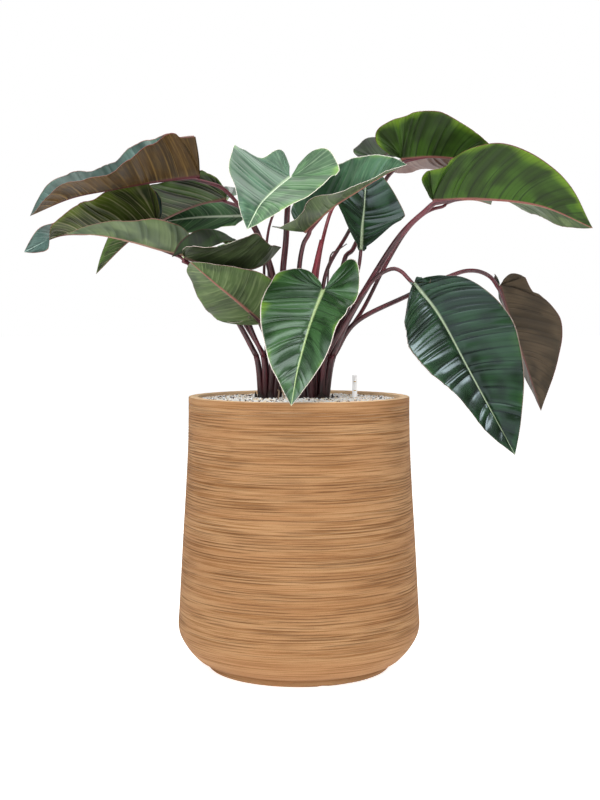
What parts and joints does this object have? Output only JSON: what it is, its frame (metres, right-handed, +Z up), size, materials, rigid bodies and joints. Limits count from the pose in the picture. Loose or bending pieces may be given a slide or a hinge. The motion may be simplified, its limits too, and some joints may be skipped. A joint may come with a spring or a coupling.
{
  "type": "potted philodendron",
  "caption": "Heart-leaved houseplant on long red stalks in a tall tapered planter filled with stone granules, with a water level gauge; stands upright on its base.",
  "frame": {"origin": "middle of the planter's flat underside", "axes": "+Z up along the planter's axis, -Y to the front, +X to the right seen from the front"},
  "size_m": [0.9752, 0.5454, 0.9544],
  "materials": {
    "clay": "matt, finely grooved",
    "stones": "rough granules",
    "clear_tube": "frosted clear",
    "red_float": "glossy",
    "dark_stalk": "satin, living stalk",
    "red_stalk": "satin, living stalk",
    "dry_stalk": "dry",
    "deep_green": "glossy leaf",
    "mid_green": "glossy leaf",
    "pale_green": "satin leaf",
    "olive": "satin leaf underside",
    "brown": "satin leaf underside"
  },
  "bodies": {
    "root": {"planter": "clay", "granules": "stones", "gauge_tube": "clear_tube", "gauge_float": "red_float", "clump_left": "dark_stalk", "clump_right": "dark_stalk", "stalk_centre": "dark_stalk", "blade_centre": "mid_green", "stalk_upper_heart": "dark_stalk", "blade_upper_heart": "pale_green", "stalk_upper_right": "dark_stalk", "blade_upper_right": "mid_green", "stalk_middle_right": "dark_stalk", "blade_middle_right": "deep_green", "stalk_right_low": "dark_stalk", "blade_right_low": "deep_green", "stalk_right_far": "dark_stalk", "blade_right_far": "brown", "stalk_right_high": "dark_stalk", "blade_right_high": "mid_green", "stalk_top_right": "dark_stalk", "blade_top_right": "olive", "stalk_right_back": "dark_stalk", "blade_right_back": "deep_green", "stalk_back_right": "dark_stalk", "blade_back_right": "deep_green", "stalk_back_middle": "red_stalk", "blade_back_middle": "mid_green", "stalk_back_left": "dark_stalk", "blade_back_left": "deep_green", "stalk_left_top": "dark_stalk", "blade_left_top": "brown", "stalk_left_second": "dark_stalk", "blade_left_second": "mid_green", "stalk_left_third": "dark_stalk", "blade_left_third": "deep_green", "stalk_left_fourth": "dark_stalk", "blade_left_fourth": "deep_green", "stalk_left_back": "dark_stalk", "blade_left_back": "deep_green", "stalk_left_inner": "dark_stalk", "blade_left_inner": "deep_green", "stalk_left_front": "dark_stalk", "blade_left_front": "olive", "stalk_left_low": "dark_stalk", "blade_left_low": "olive", "new_leaf": "red_stalk", "dry_sheath": "dry_stalk"}
  },
  "joints": []
}
